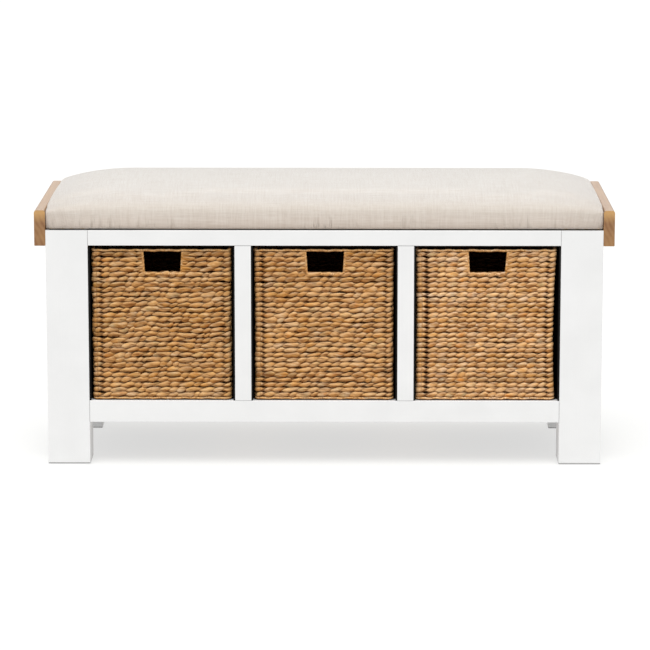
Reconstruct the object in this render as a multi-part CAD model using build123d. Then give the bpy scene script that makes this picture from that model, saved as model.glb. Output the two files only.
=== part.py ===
from build123d import *
import os

os.makedirs("parts", exist_ok=True)

# Entryway bench: painted frame with three open bays, two oak end boards, a lift-off
# seat pad and three pull-out woven baskets. Millimetres, +Z up, +Y to the back.
# The origin is on the floor, under the middle of the bench.

# Driving dimensions
WIDTH = 1100.0  # over the two end boards
DEPTH = 400.0
FRAME_TOP = 454.0
PAD_TOP = 540.0
LEG = 80.0
GLIDE = 2.0  # how far the glides lift the legs
BOARD = 21.0  # thickness of an end board
BOARD_BOTTOM, BOARD_TOP = 424.5, 492.5
BOARD_ROUND, BOARD_UNDER_ROUND = 5.0, 1.5  # its long edges above and below
RAIL = 20.0  # thickness of every rail and stile
LOW_RAIL_BOTTOM, BAY_FLOOR = 83.0, 125.0
BAY_TOP = 425.0  # underside of the front top rail
DEEP_RAIL_BOTTOM = 394.0  # underside of the side and back top rails
STILE = 31.0
SHELF, TOP_PANEL, SIDE_PANEL, BACK_PANEL, LINING = 15.0, 12.0, 9.0, 6.0, 3.0
CLEAT = 20.0
TENON, TENON_LENGTH = 10.0, 15.0
TENON_OVER, TENON_UNDER = 5.0, 7.0  # shoulders above and below a rail's tenon
STILE_TENON = 12.0
GROOVE = 6.0
FIT = 0.2  # clearance of panels and tenons in their slots
EASE = 1.0  # rounding of the frame's long edges

BASKET_WIDTH, BASKET_DEPTH, BASKET_HEIGHT = 268.0, 345.0, 292.0
BASKET_RECESS = 5.0  # basket fronts behind the front of the frame
BASKET_LIFT = 0.3
BASKET_WALL = 9.0
BASKET_CORNER = 8.0
RIM = 5.2
HOLE_WIDTH, HOLE_BOTTOM = 69.0, 372.0
HOLE_OFF_CENTRE = {"left": 2.3, "middle": 2.6, "right": 3.0}
BAND, LOW_BAND = 9.5, 6.0  # binding beside and below the handle hole
ROD = 1.8  # radius of the wire frame
ROD_SLOT = 2.0
ROD_INSET = 7.75  # rod centre from a basket's outer face

PAD_GAP = 2.0  # pad to end board
PAD_SETBACK = 4.0  # pad's lower edge behind the front of the frame
COVER, DUST_COVER, PAD_BOARD = 1.5, 1.0, 9.0
HEM = 30.0

# Derived dimensions
LEG_OUTER = WIDTH / 2 - BOARD
LEG_INNER = LEG_OUTER - LEG
HALF_DEPTH = DEPTH / 2
LEG_BACK_OF_FRONT = HALF_DEPTH - LEG  # |y| of the legs' inner faces
RAIL_INNER = HALF_DEPTH - RAIL
BAY = (2 * LEG_INNER - 2 * STILE) / 3
BASKET_FRONT = -HALF_DEPTH + BASKET_RECESS
BASKET_BOTTOM = BAY_FLOOR + BASKET_LIFT
BASKET_TOP = BASKET_BOTTOM + BASKET_HEIGHT
STILE_X = BAY / 2 + STILE / 2
BASKETS = {"left": -309.8, "middle": -0.8, "right": 307.7}  # where each stands in its bay
SIDES = {"left": -1, "right": 1}
ENDS = {"front": -1, "back": 1}


def block(x, y, z, grow=0.0):
    """Box between pairs of coordinates, each face moved out by grow."""
    spans = [(min(pair) - grow, max(pair) + grow) for pair in (x, y, z)]
    middle = [(low + high) / 2 for low, high in spans]
    return Pos(*middle) * Box(*[high - low for low, high in spans])


def save(node, shape):
    export_step(shape, f"parts/{node}.step")


def cut(shape, tools):
    for tool in tools:
        shape -= tool
    return shape


def eased(shape, axis, radius=EASE):
    return fillet(shape.edges().filter_by(axis), radius)


# Tenon bars: each is the rail's core, longer than the rail, and also cuts its mortises


def long_bar(end, bottom, top, grow=0.0):
    reach = LEG_INNER + TENON_LENGTH
    middle = end * (HALF_DEPTH - RAIL / 2)
    y = (middle - TENON / 2, middle + TENON / 2)
    return block((-reach, reach), y, (bottom + TENON_UNDER, top - TENON_OVER), grow)


def side_bar(side, bottom, top, grow=0.0):
    reach = LEG_BACK_OF_FRONT + TENON_LENGTH
    middle = side * (LEG_OUTER - RAIL / 2)
    x = (middle - TENON / 2, middle + TENON / 2)
    return block(x, (-reach, reach), (bottom + TENON_UNDER, top - TENON_OVER), grow)


def long_rail(end, bottom, top):
    y = (end * HALF_DEPTH, end * RAIL_INNER)
    rail = eased(block((-LEG_INNER, LEG_INNER), y, (bottom, top)), Axis.X)
    return rail + long_bar(end, bottom, top)


def side_rail(side, bottom, top):
    x = (side * LEG_OUTER, side * (LEG_OUTER - RAIL))
    y = (-LEG_BACK_OF_FRONT, LEG_BACK_OF_FRONT)
    return eased(block(x, y, (bottom, top)), Axis.Y) + side_bar(side, bottom, top)


def side_panel(side, grow=0.0):
    middle = side * (LEG_OUTER - RAIL / 2)
    reach = LEG_BACK_OF_FRONT + GROOVE
    x = (middle - SIDE_PANEL / 2, middle + SIDE_PANEL / 2)
    z = (BAY_FLOOR - GROOVE, DEEP_RAIL_BOTTOM + GROOVE)
    return block(x, (-reach, reach), z, grow)


def back_panel(grow=0.0):
    middle = HALF_DEPTH - RAIL / 2
    reach = LEG_INNER + GROOVE
    y = (middle - BACK_PANEL / 2, middle + BACK_PANEL / 2)
    z = (BAY_FLOOR - GROOVE, DEEP_RAIL_BOTTOM + GROOVE)
    return block((-reach, reach), y, z, grow)


def stile_tongue(side, grow=0.0):
    x = (side * STILE_X - TENON / 2, side * STILE_X + TENON / 2)
    middle = -HALF_DEPTH + RAIL / 2
    y = (middle - TENON / 2, middle + TENON / 2)
    return block(x, y, (BAY_FLOOR - STILE_TENON, BAY_TOP + STILE_TENON), grow)


def stile(side):
    x = (side * STILE_X - STILE / 2, side * STILE_X + STILE / 2)
    body = block(x, (-HALF_DEPTH, -RAIL_INNER), (BAY_FLOOR, BAY_TOP))
    return eased(body, Axis.Z, EASE / 2) + stile_tongue(side)


# Fasteners and feet


def screw(head, direction, length):
    """Countersunk wood screw: head is the middle of its flat top."""
    head_radius, shank_radius, head_depth = 4.0, 2.0, 2.6
    shape = Pos(0, 0, length / 2) * Cylinder(shank_radius, length)
    shape += Pos(0, 0, head_depth / 2) * Cone(head_radius, shank_radius, head_depth)
    return Plane(origin=head, z_dir=direction) * shape


def end_board_screws():
    length, spacing = 34.0, 90.0
    z = (BAY_TOP + FRAME_TOP) / 2
    x = LEG_OUTER - RAIL
    return [
        screw((side * x, y, z), (side, 0, 0), length)
        for side in SIDES.values()
        for y in (-spacing, 0.0, spacing)
    ]


def cleat_screws():
    length, outer, inner = 32.0, 380.0, 70.0
    heights = (FRAME_TOP - TOP_PANEL - CLEAT / 2, BAY_FLOOR - SHELF - CLEAT / 2)
    y = RAIL_INNER - CLEAT
    return [
        screw((x, end * y, z), (0, end, 0), length)
        for end in ENDS.values()
        for z in heights
        for x in (-outer, -inner, inner, outer)
    ]


def glide(side, end):
    """Plastic nail-on glide with its steel nail moulded in, as one solid."""
    disc_radius, nail_radius, nail_length = 14.0, 1.25, 16.0
    disc = Pos(0, 0, GLIDE / 2) * Cylinder(disc_radius, GLIDE)
    disc = chamfer(disc.edges().group_by(Axis.Z)[0], GLIDE / 4)
    nail = Pos(0, 0, GLIDE + nail_length / 2) * Cylinder(nail_radius, nail_length)
    return Pos(side * (LEG_OUTER - LEG / 2), end * (HALF_DEPTH - LEG / 2), 0) * (disc + nail)


# Frame


LONG_RAILS = {
    "front_top_rail": (-1, BAY_TOP, FRAME_TOP),
    "front_bottom_rail": (-1, LOW_RAIL_BOTTOM, BAY_FLOOR),
    "back_top_rail": (1, DEEP_RAIL_BOTTOM, FRAME_TOP),
    "back_bottom_rail": (1, LOW_RAIL_BOTTOM, BAY_FLOOR),
}
SIDE_RAILS = {
    f"{name}_{level}_rail": (side, *span)
    for name, side in SIDES.items()
    for level, span in (
        ("top", (DEEP_RAIL_BOTTOM, FRAME_TOP)),
        ("bottom", (LOW_RAIL_BOTTOM, BAY_FLOOR)),
    )
}


def leg(side, end):
    x = (side * LEG_INNER, side * LEG_OUTER)
    y = (end * LEG_BACK_OF_FRONT, end * HALF_DEPTH)
    post = eased(block(x, y, (GLIDE, FRAME_TOP)), Axis.Z)
    sockets = [long_bar(*spec, FIT) for spec in LONG_RAILS.values() if spec[0] == end]
    sockets += [side_bar(*spec, FIT) for spec in SIDE_RAILS.values() if spec[0] == side]
    sockets += [side_panel(side, FIT), back_panel(FIT), glide(side, end)]
    return cut(post, sockets)


def build_frame():
    panels = [side_panel(-1, FIT), side_panel(1, FIT), back_panel(FIT)]
    tongues = [stile_tongue(side, FIT) for side in SIDES.values()]
    board_screws, batten_screws = end_board_screws(), cleat_screws()
    for side_name, side in SIDES.items():
        for end_name, end in ENDS.items():
            save(f"{end_name}_{side_name}_leg", leg(side, end))
        save(f"{side_name}_side_panel", side_panel(side))
        save(f"{side_name}_front_stile", stile(side))
    for node, spec in LONG_RAILS.items():
        save(node, cut(long_rail(*spec), panels + tongues + batten_screws))
    for node, spec in SIDE_RAILS.items():
        save(node, cut(side_rail(*spec), panels + board_screws))
    save("back_panel", back_panel())
    save("end_board_screws", Compound(children=board_screws))
    save("cleat_screws", Compound(children=batten_screws))
    glides = [glide(side, end) for side in SIDES.values() for end in ENDS.values()]
    save("leg_glides", Compound(children=glides))


def flat_panel(bottom, top):
    """Panel between the rails, notched at its corners around the legs."""
    z = (bottom, top)
    end = LEG_OUTER - RAIL
    panel = block((-LEG_INNER, LEG_INNER), (-RAIL_INNER, RAIL_INNER), z)
    return panel + block((-end, end), (-LEG_BACK_OF_FRONT, LEG_BACK_OF_FRONT), z)


def build_carcass():
    """Shelf, top panel, their cleats, and the hollow dividers with dark linings."""
    batten_screws = cleat_screws()
    shelf_bottom, panel_bottom = BAY_FLOOR - SHELF, FRAME_TOP - TOP_PANEL
    across = (-LEG_INNER, LEG_INNER)
    save("bay_shelf", flat_panel(shelf_bottom, BAY_FLOOR))
    save("top_panel", flat_panel(panel_bottom, FRAME_TOP))
    for end_name, end in ENDS.items():
        y = (end * RAIL_INNER, end * (RAIL_INNER - CLEAT))
        for level, high in (("top", panel_bottom), ("shelf", shelf_bottom)):
            cleat = block(across, y, (high - CLEAT, high))
            save(f"{end_name}_{level}_cleat", cut(cleat, batten_screws))
    lining_top = panel_bottom - CLEAT
    lining_back = RAIL_INNER - LINING
    height = (BAY_FLOOR, lining_top)
    save("back_lining", block(across, (lining_back, RAIL_INNER), height))
    for side_name, side in SIDES.items():
        x = (side * STILE_X - STILE / 2, side * STILE_X + STILE / 2)
        save(f"{side_name}_divider_post", block(x, (lining_back - RAIL, lining_back), height))
        y = (-RAIL_INNER + CLEAT, RAIL_INNER - CLEAT)
        save(f"{side_name}_shelf_batten", block(x, y, (shelf_bottom - CLEAT, shelf_bottom)))
        depth = (-HALF_DEPTH + EASE, lining_back)
        faces = {
            f"{side_name}_bay_outer_lining": (side * LEG_INNER, side * (LEG_INNER - LINING)),
            f"{side_name}_bay_inner_lining": (
                side * (STILE_X + STILE / 2),
                side * (STILE_X + STILE / 2 + LINING),
            ),
            f"middle_bay_{side_name}_lining": (side * BAY / 2, side * (BAY / 2 - LINING)),
        }
        for node, x in faces.items():
            save(node, block(x, depth, height))


def build_end_boards():
    screws = end_board_screws()
    for side_name, side in SIDES.items():
        x = (side * LEG_OUTER, side * (LEG_OUTER + BOARD))
        board = block(x, (-HALF_DEPTH, HALF_DEPTH), (BOARD_BOTTOM, BOARD_TOP))
        long_edges = board.edges().filter_by(Axis.Y)
        board = fillet(long_edges.group_by(Axis.Z)[-1], BOARD_ROUND)
        under_edges = board.edges().filter_by(Axis.Y).group_by(Axis.Z)[0]
        board = fillet(under_edges, BOARD_UNDER_ROUND)
        save(f"{side_name}_end_board", cut(board, screws))


# Seat pad


# Rise of the dome over the pad's edge, as (distance in, height over the frame's top)
DOME_SIDE = ((0.0, 28.0), (10.0, 50.0), (55.0, 71.0))
DOME_END = ((0.0, 30.0), (14.0, 52.0), (45.0, 69.0), (110.0, 82.5))


def dome_outline(rise, half, low_half, inset, bottom):
    """Closed outline of the cushion: a spline over the dome and straight lines under it."""
    left = [(inward - half, FRAME_TOP + height - inset) for inward, height in rise]
    top = left + [(0, PAD_TOP - inset)] + [(-along, z) for along, z in reversed(left)]
    return Spline(*top) + Polyline(top[-1], (low_half, bottom), (-low_half, bottom), top[0])


def pad_block(inset, bottom):
    """Domed cushion: a side profile run along x, cut by a front profile run along y."""
    half_depth = HALF_DEPTH - inset
    half_width = LEG_OUTER - PAD_GAP - inset
    side = dome_outline(DOME_SIDE, half_depth, half_depth - PAD_SETBACK, inset, bottom)
    end = dome_outline(DOME_END, half_width, half_width, inset, bottom)
    along_x = extrude(Plane.YZ * make_face(side), WIDTH / 2, both=True)
    along_y = extrude(Plane.XZ * make_face(end), HALF_DEPTH, both=True)
    return along_x & along_y


def build_pad():
    cover_bottom = FRAME_TOP + DUST_COVER
    board_bottom = cover_bottom + COVER
    half_width = LEG_OUTER - PAD_GAP - PAD_SETBACK - COVER
    half_depth = HALF_DEPTH - PAD_SETBACK - 2 * COVER
    window = (half_width - HEM, half_depth - HEM)
    opening = block(
        (-window[0], window[0]), (-window[1], window[1]), (FRAME_TOP, board_bottom + 1)
    )
    filling = pad_block(COVER, board_bottom)
    board_top = board_bottom + PAD_BOARD
    board = block(
        (-half_width, half_width), (-half_depth, half_depth), (board_bottom, board_top)
    )
    save("pad_cover", pad_block(0, cover_bottom) - filling - opening)
    save("pad_base_board", board)
    save("pad_foam", filling - board)
    save(
        "pad_dust_cover",
        block((-half_width, half_width), (-half_depth, half_depth), (FRAME_TOP, cover_bottom)),
    )


# Baskets


def rod_runs(hole_x):
    """The wire frame's straight runs: two rings, four corner posts and the handle loop."""
    x = BASKET_WIDTH / 2 - ROD_INSET
    front, back = BASKET_FRONT + ROD_INSET, BASKET_FRONT + BASKET_DEPTH - ROD_INSET
    low, high = BASKET_BOTTOM + BASKET_WALL + ROD, BASKET_TOP - RIM + ROD_SLOT
    corners = [(-x, front), (x, front), (x, back), (-x, back)]
    runs = []
    for here, there in zip(corners, corners[1:] + corners[:1]):
        runs += [((*here, z), (*there, z)) for z in (low, high)]
        runs.append(((*here, low), (*here, high)))
    handle_x, handle_z = (HOLE_WIDTH + BAND) / 2, HOLE_BOTTOM - LOW_BAND / 2
    feet = [(hole_x + side * handle_x, front, handle_z) for side in (-1, 1)]
    runs.append(tuple(feet))
    runs += [(foot, (foot[0], front, high)) for foot in feet]
    return runs


def rod(start, end):
    run = Vector(*end) - Vector(*start)
    length = run.length
    bar = Plane(origin=start, z_dir=run) * Pos(0, 0, length / 2) * Cylinder(ROD, length)
    return bar + Pos(*start) * Sphere(ROD) + Pos(*end) * Sphere(ROD)


def basket_block(inset, bottom, top):
    x = BASKET_WIDTH / 2 - inset
    y = (BASKET_FRONT + inset, BASKET_FRONT + BASKET_DEPTH - inset)
    corner = BASKET_CORNER * (1 - 0.75 * inset / BASKET_WALL)
    return eased(block((-x, x), y, (bottom, top)), Axis.Z, corner)


def handle_block(hole_x, grow_x, low, high):
    half = HOLE_WIDTH / 2 + grow_x
    y = (BASKET_FRONT, BASKET_FRONT + BASKET_WALL)
    return block((hole_x - half, hole_x + half), y, (low, high))


def basket_parts(hole_x):
    """One basket's pieces, built around x = 0, with the handle hole's middle at hole_x."""
    wall_top, band_bottom = BASKET_TOP - RIM, HOLE_BOTTOM - LOW_BAND
    slots = [block(*zip(start, end), ROD_SLOT) for start, end in rod_runs(hole_x)]
    hollow = basket_block(BASKET_WALL, BASKET_BOTTOM + BASKET_WALL, BASKET_TOP)
    notch = handle_block(hole_x, BAND, band_bottom, BASKET_TOP)
    weave = basket_block(0, BASKET_BOTTOM, wall_top) - hollow - notch
    rim = basket_block(0, wall_top, BASKET_TOP) - hollow
    hole = handle_block(hole_x, 0, HOLE_BOTTOM, wall_top)
    binding = handle_block(hole_x, BAND, band_bottom, wall_top) - hole
    rods = [rod(*run) for run in rod_runs(hole_x)]
    return {
        "weave": cut(weave, slots),
        "rim": cut(rim, slots),
        "handle_binding": cut(binding, slots),
        "wire_frame": rods[0].fuse(*rods[1:]),
    }


def build_baskets():
    for name, middle in BASKETS.items():
        for part_name, shape in basket_parts(HOLE_OFF_CENTRE[name]).items():
            save(f"{name}_basket_{part_name}", Pos(middle, 0, 0) * shape)


build_frame()
build_carcass()
build_end_boards()
build_pad()
build_baskets()
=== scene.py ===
"""The entryway bench's looks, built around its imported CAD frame. Metres, +Z up, +Y to the back."""

import math

import bmesh
import bpy
import numpy as np
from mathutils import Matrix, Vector


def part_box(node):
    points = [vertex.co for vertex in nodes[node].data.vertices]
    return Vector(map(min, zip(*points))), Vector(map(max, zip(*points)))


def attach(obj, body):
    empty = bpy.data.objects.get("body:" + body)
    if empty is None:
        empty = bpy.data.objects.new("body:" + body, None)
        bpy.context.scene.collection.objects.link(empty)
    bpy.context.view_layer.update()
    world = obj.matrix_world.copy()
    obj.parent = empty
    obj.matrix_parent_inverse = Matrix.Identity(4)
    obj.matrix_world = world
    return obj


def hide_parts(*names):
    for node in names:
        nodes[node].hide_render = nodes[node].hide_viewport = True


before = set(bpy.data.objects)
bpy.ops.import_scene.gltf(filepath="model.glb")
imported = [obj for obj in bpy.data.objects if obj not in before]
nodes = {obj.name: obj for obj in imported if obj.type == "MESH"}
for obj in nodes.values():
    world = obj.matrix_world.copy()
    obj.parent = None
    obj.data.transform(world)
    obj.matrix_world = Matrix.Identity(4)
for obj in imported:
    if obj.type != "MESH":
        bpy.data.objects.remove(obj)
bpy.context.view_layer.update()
scene = bpy.context.scene
MM = 0.001
TAU = 2 * math.pi


# ---------------------------------------------------------------- node graphs


class Graph:
    """A material's node tree, with short calls for the few nodes that the materials share."""

    def __init__(self, name, roughness, specular=0.5):
        self.material = bpy.data.materials.new(name)
        self.material.use_nodes = True
        self.tree = self.material.node_tree
        self.shader = self.tree.nodes["Principled BSDF"]
        self.shader.inputs["Roughness"].default_value = roughness
        self.shader.inputs["Specular IOR Level"].default_value = specular

    def add(self, kind, inputs=None, **settings):
        node = self.tree.nodes.new(kind)
        for key, value in settings.items():
            setattr(node, key, value)
        for key, value in (inputs or {}).items():
            self.plug(node.inputs[key], value)
        return node

    def plug(self, socket, value):
        if isinstance(value, bpy.types.NodeSocket):
            self.tree.links.new(value, socket)
        elif isinstance(value, bpy.types.Node):
            self.tree.links.new(value.outputs[0], socket)
        else:
            socket.default_value = value

    def place(self):
        return self.add("ShaderNodeTexCoord").outputs["Object"]

    def facing(self):
        return self.add("ShaderNodeTexCoord").outputs["Normal"]

    def attribute(self, name, output="Vector"):
        return self.add("ShaderNodeAttribute", attribute_name=name).outputs[output]

    def scaled(self, vector, scale):
        return self.add("ShaderNodeMapping", {"Vector": vector, "Scale": scale}).outputs[0]

    def noise(self, vector, scale=1.0, detail=2.0, roughness=0.5, distortion=0.0):
        inputs = {"Vector": vector, "Scale": scale, "Detail": detail}
        inputs.update({"Roughness": roughness, "Distortion": distortion})
        return self.add("ShaderNodeTexNoise", inputs).outputs["Fac"]

    def math(self, operation, first, second=0.0, third=0.0):
        node = self.add("ShaderNodeMath", operation=operation)
        for socket, value in zip(node.inputs, (first, second, third)):
            self.plug(socket, value)
        return node.outputs[0]

    def ramp(self, factor, stops):
        node = self.add("ShaderNodeValToRGB", {"Fac": factor})
        elements = node.color_ramp.elements
        while len(elements) < len(stops):
            elements.new(0.5)
        for element, (position, colour) in zip(elements, stops):
            element.position = position
            element.color = (*colour, 1)
        return node.outputs[0]

    def remap(self, value, low, high):
        """Stretches a 0 to 1 value over low to high."""
        inputs = {"Value": value, "To Min": low, "To Max": high}
        return self.add("ShaderNodeMapRange", inputs).outputs[0]

    def between(self, value, start, end):
        """0 up to start and 1 from end."""
        inputs = {"Value": value, "From Min": start, "From Max": end}
        return self.add("ShaderNodeMapRange", inputs).outputs[0]

    def part(self, vector, index):
        """One coordinate of a vector."""
        return self.add("ShaderNodeSeparateXYZ", {0: vector}).outputs[index]

    def tint(self, first, second, factor, blend="MIX"):
        node = self.add("ShaderNodeMix", data_type="RGBA", blend_type=blend)
        self.plug(node.inputs["Factor"], factor)
        self.plug(node.inputs["A"], first)
        self.plug(node.inputs["B"], second)
        return node.outputs["Result"]

    def stain(self, colour, tone, mask, strength):
        """Mixes in a tone, in 0 to 255 steps, where the mask is 1."""
        return self.tint(colour, (*srgb(*tone), 1), self.math("MULTIPLY", mask, strength))

    def bump(self, height, distance, strength=1.0, normal=None):
        inputs = {"Height": height, "Distance": distance, "Strength": strength}
        node = self.add("ShaderNodeBump", inputs)
        if normal is not None:
            self.plug(node.inputs["Normal"], normal)
        return node.outputs[0]

    def finish(self, colour=None, roughness=None, normal=None):
        for key, value in (("Base Color", colour), ("Roughness", roughness), ("Normal", normal)):
            if value is not None:
                self.plug(self.shader.inputs[key], value)
        return self.material


def srgb(red, green, blue):
    """A colour in 0 to 255 steps, as the linear values that shaders take."""
    values = [v / 255 for v in (red, green, blue)]
    return tuple(v / 12.92 if v <= 0.04045 else ((v + 0.055) / 1.055) ** 2.4 for v in values)


def along_axis(axis, along, across):
    """Mapping scale that stretches a pattern along one axis."""
    scale = [across] * 3
    scale[axis] = along
    return tuple(scale)


# ---------------------------------------------------------------- materials

JOINT_LINE = 0.5 * MM  # the thin line of dirt where a rail meets a leg
FOOT_SHADOW_LINE = 1.2 * MM  # height of the leg's foot line over the joint line's; this line is painted shadow where the leg meets the floor
END_LIGHT_HEIGHTS = (0.468, 0.487)  # over these heights painted light turns an end board's end golden, towards its top
PAD_SHADE_HEIGHTS = (0.455, 0.54)  # from the pad's lower edge to its crown: painted shade low down giving way to painted light at the crown
HEM_HEIGHTS = (0.486, 0.458)  # where the creases of the pad's lower edge start and are full
THREAD = 0.75 * MM  # from one thread of the linen to the next


def painted_wood(name, axis, ends=None):
    """Satin white paint over solid wood: faint grain, sprayed texture and rubbed-back unevenness.
    ends are where the piece's shoulders meet its neighbours, and hold a thin dark line: dirt at a
    joint, painted shadow at a leg's foot."""
    g = Graph(name, 0.42, 0.45)
    place = g.place()
    grain = g.noise(g.scaled(place, along_axis(axis, 9, 260)), detail=4, roughness=0.6)
    mottle = g.noise(place, 14, detail=3)
    spray = g.noise(place, 900, detail=2)
    colour = g.ramp(mottle, [(0.3, (0.76, 0.76, 0.758)), (0.7, (0.795, 0.795, 0.793))])
    colour = g.tint(colour, (0.74, 0.737, 0.727, 1), g.remap(grain, -0.12, 0.16))
    if ends:
        # a thin dark line at the ends: dirt in a rail's or stile's joints, painted shadow along a
        # leg's foot
        along = g.part(place, axis)
        past_low = g.math("LESS_THAN", along, ends[0] + JOINT_LINE)
        past_high = g.math("GREATER_THAN", along, ends[1] - JOINT_LINE)
        line = g.math("MULTIPLY", g.math("ADD", past_low, past_high), 0.8)
        colour = g.tint(colour, (0.16, 0.155, 0.15, 1), line)
    normal = g.bump(grain, 0.00012)
    normal = g.bump(spray, 0.00004, normal=normal)
    return g.finish(colour, g.remap(mottle, 0.36, 0.48), normal)


def oak():
    """Lacquered oak, sawn along Y: rings on the ends, long grain with pores on the faces; painted
    light on the tops and the ends' upper part, painted shade on the rounded top edges.
    """
    g = Graph("oak_lacquered", 0.45, 0.35)
    g.shader.inputs["Coat Weight"].default_value = 0.15
    g.shader.inputs["Coat Roughness"].default_value = 0.35
    place = g.place()
    drift_inputs = {"Vector": g.scaled(place, (9, 1.1, 9)), "Scale": 1.0, "Detail": 3.0}
    drift = g.add("ShaderNodeTexNoise", drift_inputs).outputs["Color"]
    bend = g.scaled(drift, (0.03, 0.03, 0.012))
    warped = g.add("ShaderNodeVectorMath", {0: place, 1: bend}, operation="ADD")
    turn = {"Vector": warped, "Rotation": (0, math.radians(27), 0)}
    rings = g.add(
        "ShaderNodeTexWave",
        {
            "Vector": g.add("ShaderNodeMapping", turn),
            "Scale": 36.0,
            "Distortion": 3.0,
            "Detail": 3.0,
            "Detail Scale": 1.4,
        },
        wave_type="BANDS",
        bands_direction="X",
    ).outputs["Fac"]
    fibres = g.noise(g.scaled(place, along_axis(1, 14, 900)), detail=3, roughness=0.65)
    pores = g.noise(g.scaled(place, along_axis(1, 55, 2600)), detail=1)
    cloud = g.noise(g.scaled(place, (30, 5, 22)), detail=2)
    light, middle, dark = (0.42, 0.235, 0.112), (0.35, 0.18, 0.078), (0.27, 0.128, 0.05)
    colour = g.ramp(rings, [(0.1, light), (0.6, middle), (0.95, dark)])
    colour = g.tint(colour, (0.25, 0.12, 0.05, 1), g.remap(fibres, -0.3, 0.5))
    pore_mask = g.between(pores, 0.62, 0.7)
    colour = g.tint(colour, (0.14, 0.065, 0.026, 1), g.math("MULTIPLY", pore_mask, 0.4))
    golden = g.between(cloud, 0.42, 0.62)
    colour = g.tint(colour, (0.54, 0.31, 0.12, 1), g.math("MULTIPLY", golden, 0.6))
    facing = g.facing()
    on_end, upward = g.math("ABSOLUTE", g.part(facing, 1)), g.part(facing, 2)
    end_grain = g.math("MULTIPLY", on_end, 0.5)
    colour = g.tint(colour, (0.20, 0.088, 0.028, 1), end_grain)
    top_face = g.between(upward, 0.75, 1.0)
    # painted shade: the rounded top edges, turned aside from the light, darker
    painted_arris_shade = g.math("SUBTRACT", g.math("ABSOLUTE", g.part(facing, 0)), 0.15)
    painted_arris_shade = g.math("MULTIPLY", painted_arris_shade, g.math("GREATER_THAN", upward, 0.2))
    colour = g.tint(colour, (0.19, 0.095, 0.04, 1), g.math("MAXIMUM", painted_arris_shade, 0.0))
    # painted highlight: the top faces paler, where the light and sheen fall on them
    painted_top_sheen = g.math("MULTIPLY", top_face, g.remap(fibres, 1.0, 0.4))
    colour = g.tint(colour, (0.56, 0.43, 0.33, 1), painted_top_sheen)
    # painted light: the upper part of each end paler and golden
    painted_end_light = g.math("MULTIPLY", g.between(g.part(place, 2), *END_LIGHT_HEIGHTS), on_end)
    colour = g.tint(colour, (0.60, 0.35, 0.13, 1), g.math("MULTIPLY", painted_end_light, 0.75))
    height = g.math("SUBTRACT", g.math("MULTIPLY", fibres, 0.5), pore_mask)
    return g.finish(colour, g.remap(fibres, 0.28, 0.44), g.bump(height, 0.00018))


def raw_wood(name, light, dark, axis, band):
    """Unfinished softwood or plywood: soft rings along one axis over a pale ground."""
    g = Graph(name, 0.7, 0.3)
    place = g.place()
    rings = g.noise(g.scaled(place, along_axis(axis, 2.5, band)), detail=3, distortion=0.6)
    fibres = g.noise(g.scaled(place, along_axis(axis, 20, 800)), detail=2)
    colour = g.ramp(rings, [(0.35, light), (0.65, dark)])
    colour = g.tint(colour, (*[c * 0.7 for c in dark], 1), g.remap(fibres, -0.2, 0.45))
    return g.finish(colour, None, g.bump(fibres, 0.0002))


def black_board(name):
    """Black-painted board, its black painted shade for the deep insides of the bays: dull, faintly
    mottled, with a fine felted texture.
    """
    g = Graph(name, 0.85, 0.15)
    place = g.place()
    mottle = g.noise(place, 20, detail=3)
    fuzz = g.noise(place, 1500, detail=1)
    colour = g.ramp(mottle, [(0.3, (0.004, 0.004, 0.004)), (0.7, (0.009, 0.0085, 0.008))])
    return g.finish(colour, g.remap(mottle, 0.8, 0.92), g.bump(fuzz, 0.0001))


def zinc_steel():
    g = Graph("zinc_plated_steel", 0.35)
    g.shader.inputs["Metallic"].default_value = 1.0
    place = g.place()
    wear = g.noise(place, 500, detail=3)
    colour = g.ramp(wear, [(0.3, (0.55, 0.53, 0.47)), (0.7, (0.68, 0.67, 0.64))])
    return g.finish(colour, g.remap(wear, 0.25, 0.45), g.bump(wear, 0.00003))


def black_wire():
    g = Graph("lacquered_black_wire", 0.4)
    chips = g.noise(g.place(), 300, detail=3)
    colour = g.ramp(chips, [(0.35, (0.012, 0.011, 0.01)), (0.8, (0.05, 0.04, 0.03))])
    return g.finish(colour, g.remap(chips, 0.3, 0.5), g.bump(chips, 0.00005))


def glide_plastic():
    g = Graph("moulded_glide_plastic", 0.5)
    grain = g.noise(g.place(), 700, detail=2)
    colour = g.ramp(grain, [(0.3, (0.10, 0.095, 0.09)), (0.7, (0.14, 0.135, 0.13))])
    return g.finish(colour, g.remap(grain, 0.42, 0.6), g.bump(grain, 0.00006))


def woven_threads(g, across, pitch):
    """A thread's rounded height across itself, with uneven spacing."""
    wobble = g.math("MULTIPLY", g.noise(across, 90, detail=1), pitch * 1.4)
    turns = g.math("DIVIDE", g.math("ADD", across, wobble), pitch)
    return g.math("ABSOLUTE", g.math("SINE", g.math("MULTIPLY", turns, math.pi)))


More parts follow.
